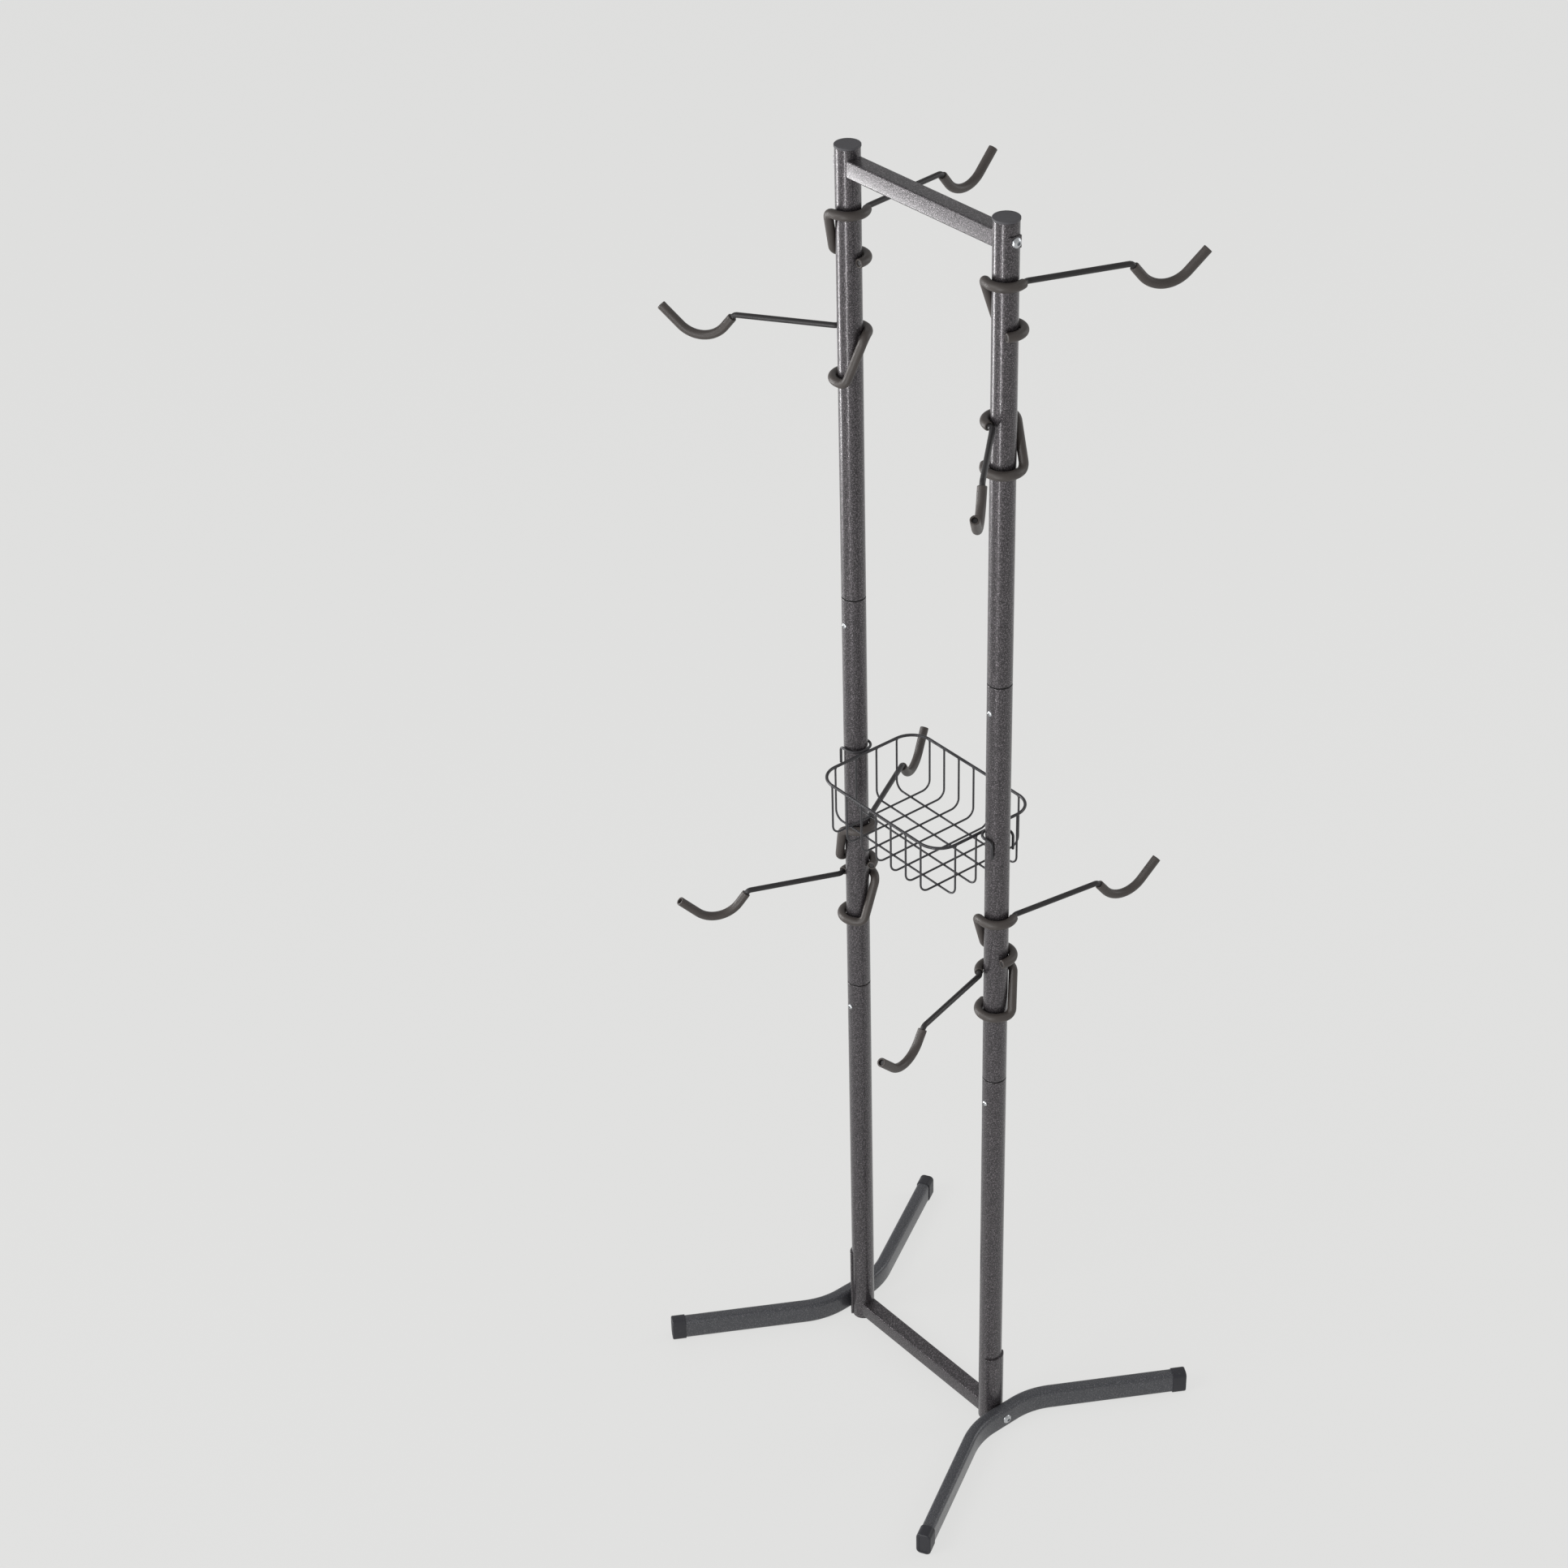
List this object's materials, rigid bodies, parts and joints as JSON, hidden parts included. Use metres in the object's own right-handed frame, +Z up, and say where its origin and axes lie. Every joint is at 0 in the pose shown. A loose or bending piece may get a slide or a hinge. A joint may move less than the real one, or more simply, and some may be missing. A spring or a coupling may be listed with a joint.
{
  "type": "freestanding bike rack",
  "caption": "Freestanding bike rack: round sectional posts joined by crossbars, splayed legs, turning sleeved hooks that grip the posts, and a wire basket between the posts.",
  "frame": {"origin": "on the floor, midway between the axes of the two posts", "axes": "+X from the left post to the right post, +Y to the rear, +Z up"},
  "size_m": [0.7196, 0.5574, 2.03],
  "materials": {
    "post_paint": "hammered metallic graphite, satin",
    "leg_paint": "hammered metallic dark grey, satin",
    "cap_plastic": "matt",
    "foot_plastic": "matt",
    "zinc": "bright zinc plating",
    "rod_paint": "satin black",
    "sleeve_vinyl": "satin vinyl",
    "wire_coat": "satin"
  },
  "bodies": {
    "frame": {"left_post_lower": "post_paint", "left_post_middle": "post_paint", "left_post_upper": "post_paint", "left_post_cap": "cap_plastic", "right_post_lower": "post_paint", "right_post_middle": "post_paint", "right_post_upper": "post_paint", "right_post_cap": "cap_plastic", "top_crossbar": "post_paint", "bottom_crossbar": "post_paint", "top_bar_plugs": "zinc", "bottom_bar_plugs": "zinc", "left_saddle": "post_paint", "left_leg": "leg_paint", "left_leg_bolt": "zinc", "left_top_bolt": "zinc", "left_top_washer": "foot_plastic", "right_saddle": "post_paint", "right_leg": "leg_paint", "right_leg_bolt": "zinc", "right_top_bolt": "zinc", "right_top_washer": "foot_plastic", "left_front_foot": "foot_plastic", "left_rear_foot": "foot_plastic", "right_front_foot": "foot_plastic", "right_rear_foot": "foot_plastic", "left_lower_screw": "zinc", "left_upper_screw": "zinc", "right_lower_screw": "zinc", "right_upper_screw": "zinc"},
    "basket": {"basket_rim": "wire_coat", "basket_long_wires": "wire_coat", "basket_cross_wires": "wire_coat", "basket_left_hanger": "wire_coat", "basket_right_hanger": "wire_coat"},
    "left_hook_1": {"left_hook_1_rod": "rod_paint", "left_hook_1_grip": "sleeve_vinyl", "left_hook_1_cradle": "sleeve_vinyl"},
    "left_hook_2": {"left_hook_2_rod": "rod_paint", "left_hook_2_grip": "sleeve_vinyl", "left_hook_2_cradle": "sleeve_vinyl"},
    "left_hook_3": {"left_hook_3_rod": "rod_paint", "left_hook_3_grip": "sleeve_vinyl", "left_hook_3_cradle": "sleeve_vinyl"},
    "left_hook_4": {"left_hook_4_rod": "rod_paint", "left_hook_4_grip": "sleeve_vinyl", "left_hook_4_cradle": "sleeve_vinyl"},
    "right_hook_1": {"right_hook_1_rod": "rod_paint", "right_hook_1_grip": "sleeve_vinyl", "right_hook_1_cradle": "sleeve_vinyl"},
    "right_hook_2": {"right_hook_2_rod": "rod_paint", "right_hook_2_grip": "sleeve_vinyl", "right_hook_2_cradle": "sleeve_vinyl"},
    "right_hook_3": {"right_hook_3_rod": "rod_paint", "right_hook_3_grip": "sleeve_vinyl", "right_hook_3_cradle": "sleeve_vinyl"},
    "right_hook_4": {"right_hook_4_rod": "rod_paint", "right_hook_4_grip": "sleeve_vinyl", "right_hook_4_cradle": "sleeve_vinyl"}
  },
  "joints": [
    {"name": "left_hook_1_turn", "type": "hinge", "parent": "frame", "child": "left_hook_1", "pos_m": [-0.153, 0, 1.938], "axis": [0, 0, 1], "range_deg": [-81, 249]},
    {"name": "left_hook_2_turn", "type": "hinge", "parent": "frame", "child": "left_hook_2", "pos_m": [-0.153, 0, 1.762], "axis": [0, 0, 1], "range_deg": [-200, 130]},
    {"name": "left_hook_3_turn", "type": "hinge", "parent": "frame", "child": "left_hook_3", "pos_m": [-0.153, 0, 0.966], "axis": [0, 0, 1], "range_deg": [-105, 225]},
    {"name": "left_hook_4_turn", "type": "hinge", "parent": "frame", "child": "left_hook_4", "pos_m": [-0.153, 0, 0.871], "axis": [0, 0, 1], "range_deg": [-232, 98]},
    {"name": "right_hook_1_turn", "type": "hinge", "parent": "frame", "child": "right_hook_1", "pos_m": [0.153, 0, 1.944], "axis": [0, 0, 1], "range_deg": [-234, 96]},
    {"name": "right_hook_2_turn", "type": "hinge", "parent": "frame", "child": "right_hook_2", "pos_m": [0.153, 0, 1.747], "axis": [0, 0, 1], "range_deg": [-118, 212]},
    {"name": "right_hook_3_turn", "type": "hinge", "parent": "frame", "child": "right_hook_3", "pos_m": [0.153, 0, 0.965], "axis": [0, 0, 1], "range_deg": [-247, 83]},
    {"name": "right_hook_4_turn", "type": "hinge", "parent": "frame", "child": "right_hook_4", "pos_m": [0.153, 0, 0.869], "axis": [0, 0, 1], "range_deg": [-90, 240]},
    {"name": "basket_height", "type": "slide", "parent": "frame", "child": "basket", "axis": [0, 0, 1], "range_m": [-0.02, 0.19]}
  ]
}
